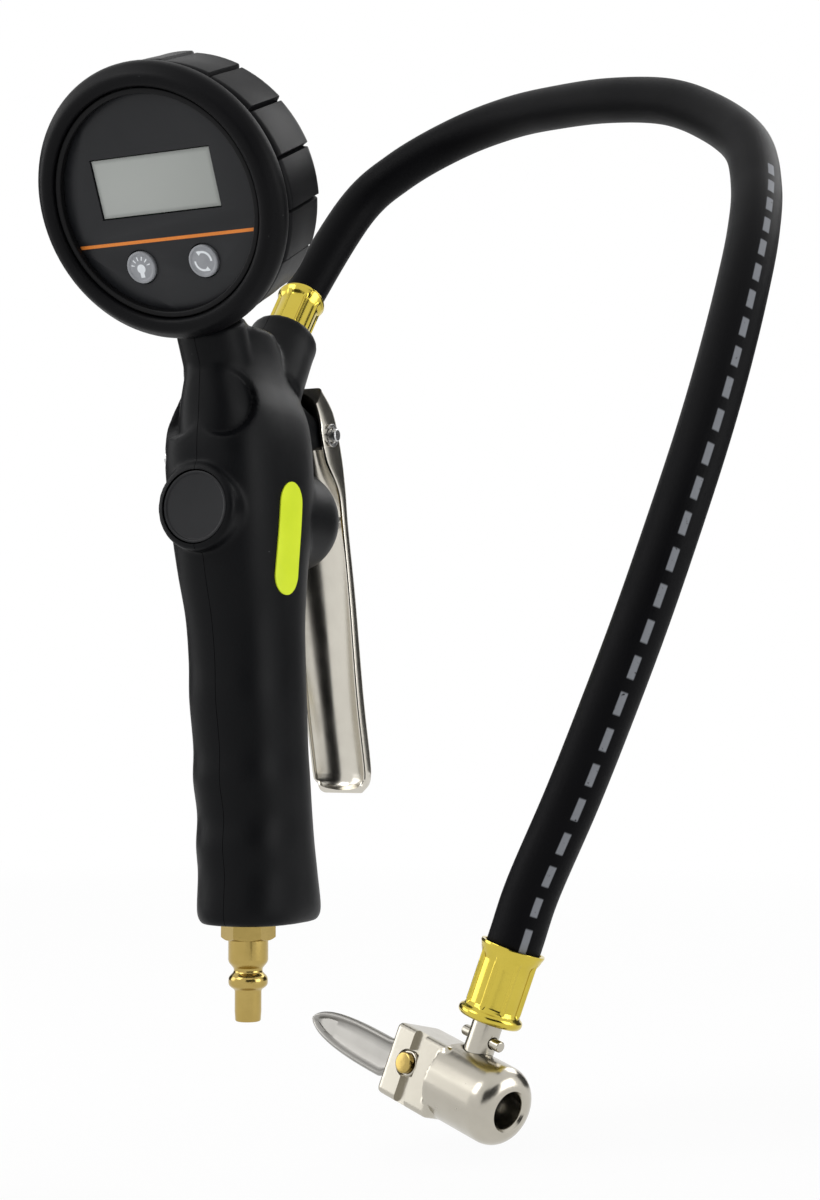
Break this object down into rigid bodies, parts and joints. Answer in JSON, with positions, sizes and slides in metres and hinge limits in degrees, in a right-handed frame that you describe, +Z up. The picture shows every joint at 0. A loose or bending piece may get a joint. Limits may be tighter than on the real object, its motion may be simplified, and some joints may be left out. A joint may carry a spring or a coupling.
{
  "type": "tyre inflator with digital gauge",
  "caption": "Hand-held tyre inflator: pistol grip with squeeze trigger, leaning digital gauge in a ribbed rubber boot, whip hose with brass ferrules, and a clip-on chuck with a thumb lever.",
  "frame": {"origin": "centre of the inlet plug's tip, where the air line plugs in", "axes": "+Z up along the grip, +Y forward to the trigger side, +X the user's right; the gauge faces the user at -Y"},
  "size_m": [0.2206, 0.1831, 0.2902],
  "materials": {
    "soft_black": "soft-touch",
    "moulded_black": "satin",
    "face_black": "printed",
    "black_rubber": "matt",
    "lime_film": "satin",
    "brass": "bright turned",
    "chrome": "plated",
    "nickel": "nickel plate over die-cast metal",
    "steel": "plain",
    "satin_grey": "satin",
    "cast_aluminium": "as cast",
    "display": "display panel",
    "board_green": "solder mask"
  },
  "bodies": {
    "body": {"casing_left": "soft_black", "casing_right": "soft_black", "casing_screw_1": "steel", "casing_screw_2": "steel", "casing_screw_3": "steel", "valve_block": "cast_aluminium", "inlet_plug": "brass", "rear_cap": "moulded_black", "valve_plug": "brass", "valve_spring": "steel", "valve_bush": "brass", "pin_o_ring": "black_rubber", "side_pad": "lime_film", "gauge_boot": "black_rubber", "gauge_case": "moulded_black", "battery_cover": "moulded_black", "gauge_bezel": "moulded_black", "face_plate": "face_black", "lcd_panel": "display", "circuit_board": "board_green", "button_pad": "black_rubber", "battery": "steel", "gauge_stem": "brass", "stem_o_ring": "black_rubber", "trigger_pivot_pin": "steel", "pivot_clip": "steel", "gun_ferrule": "brass", "hose_port_fitting": "brass", "hose": "black_rubber", "chuck_ferrule": "brass", "chuck_stem": "nickel", "stem_cross_pin": "steel", "chuck_body": "nickel", "chuck_seal": "black_rubber", "chuck_lever_pin": "brass", "pin_collar": "steel"},
    "trigger": {"trigger_lever": "chrome"},
    "valve": {"valve_stem": "steel", "poppet_seal": "black_rubber"},
    "light_key": {"light_button": "satin_grey"},
    "unit_key": {"unit_button": "satin_grey"},
    "thumb": {"chuck_lever": "nickel"},
    "jaw": {"chuck_jaw": "steel"},
    "depressor": {"valve_depressor": "brass"}
  },
  "joints": [
    {"name": "trigger_pull", "type": "hinge", "parent": "body", "child": "trigger", "pos_m": [0, 0.0325, 0.1789], "axis": [-1, 0, 0], "range_deg": [0, 9], "stiffness_Nm_per_rad": 1.5, "springref_deg": -5.73},
    {"name": "valve_travel", "type": "slide", "parent": "body", "child": "valve", "axis": [0, -1, 0], "range_m": [0, 0.00432], "deforming": ["valve_spring"]},
    {"name": "light_button_press", "type": "slide", "parent": "body", "child": "light_key", "axis": [0, 0.9063, 0.4226], "range_m": [0, 0.0008], "stiffness_N_per_m": 400, "springref_m": -0.0008},
    {"name": "unit_button_press", "type": "slide", "parent": "body", "child": "unit_key", "axis": [0, 0.9063, 0.4226], "range_m": [0, 0.0008], "stiffness_N_per_m": 400, "springref_m": -0.0008},
    {"name": "thumb_press", "type": "hinge", "parent": "body", "child": "thumb", "pos_m": [0.1076, -0.10153, 0.0085], "axis": [0.3254, 0.9207, -0.2155], "range_deg": [0, 14], "stiffness_Nm_per_rad": 0.4, "springref_deg": -5.73},
    {"name": "jaw_slide", "type": "slide", "parent": "body", "child": "jaw", "axis": [-0.3002, -0.1155, -0.9469], "range_m": [0, 0.0014]},
    {"name": "depressor_travel", "type": "slide", "parent": "body", "child": "depressor", "axis": [-0.8966, 0.3728, 0.2388], "range_m": [0, 0.0015], "stiffness_N_per_m": 400, "springref_m": -0.0008}
  ],
  "couplings": [
    {"joint": "valve_travel", "follows": "trigger_pull", "m_per_rad": 0.0274},
    {"joint": "jaw_slide", "follows": "thumb_press", "m_per_rad": 0.0057}
  ]
}
